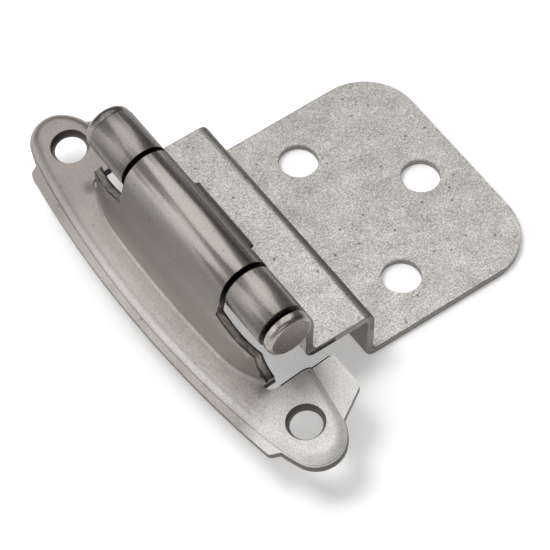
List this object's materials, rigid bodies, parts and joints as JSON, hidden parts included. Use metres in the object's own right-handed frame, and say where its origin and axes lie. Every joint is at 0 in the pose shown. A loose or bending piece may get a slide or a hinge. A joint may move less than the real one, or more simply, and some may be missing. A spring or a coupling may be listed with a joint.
{
  "type": "self-closing surface hinge",
  "caption": "Self-closing cabinet hinge: a bowed frame leaf with screw ears, a stepped leaf for an inset door, a headed pin through rolled knuckles and a hidden spring.",
  "frame": {"origin": "midway between the two frame screws, on the face of the cabinet frame", "axes": "+X towards the door, +Y along the hinge pin from its button to its riveted head, +Z out of the face frame"},
  "size_m": [0.0578, 0.0724, 0.0323],
  "materials": {
    "frame_leaf": "satin",
    "door_leaf": "satin",
    "hinge_pin": "satin",
    "closing_spring": "satin"
  },
  "bodies": {
    "frame_side": {"frame_leaf": "frame_leaf", "closing_spring": "closing_spring"},
    "door_side": {"door_leaf": "door_leaf", "hinge_pin": "hinge_pin"}
  },
  "joints": [
    {"name": "door_swing", "type": "hinge", "parent": "frame_side", "child": "door_side", "pos_m": [0.00335, 0, 0.0141], "axis": [0, -1, 0], "range_deg": [0, 187.5], "stiffness_Nm_per_rad": 0.04, "springref_deg": -28.65, "deforming": ["closing_spring"]}
  ]
}
